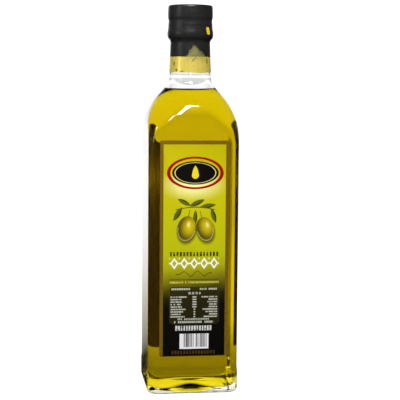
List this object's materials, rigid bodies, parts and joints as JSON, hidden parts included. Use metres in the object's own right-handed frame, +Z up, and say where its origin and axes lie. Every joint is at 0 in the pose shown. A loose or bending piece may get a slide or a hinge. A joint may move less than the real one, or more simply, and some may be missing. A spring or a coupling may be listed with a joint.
{
  "type": "olive oil bottle",
  "caption": "Square bottle of clear glass filled with golden olive oil, with front and back labels and a black and gold capsule over the closed mouth.",
  "frame": {"origin": "centre of the square footprint, on the surface the bottle stands on", "axes": "+Z up the bottle's axis, -Y out of the face with the front label, +X to the right of that face"},
  "size_m": [0.0678, 0.0678, 0.2881],
  "materials": {
    "glass": "clear, smooth, gloss",
    "oil": "clear golden liquid",
    "capsule": "black shrink film, satin, with a metallic gold band at its lower edge",
    "tab": "yellow film",
    "front_print": "printed label, satin",
    "back_print": "printed label, satin"
  },
  "bodies": {
    "root": {"glass_bottle": "glass", "olive_oil": "oil", "neck_capsule": "capsule", "tear_tab": "tab", "front_label": "front_print", "back_label": "back_print"}
  },
  "joints": []
}
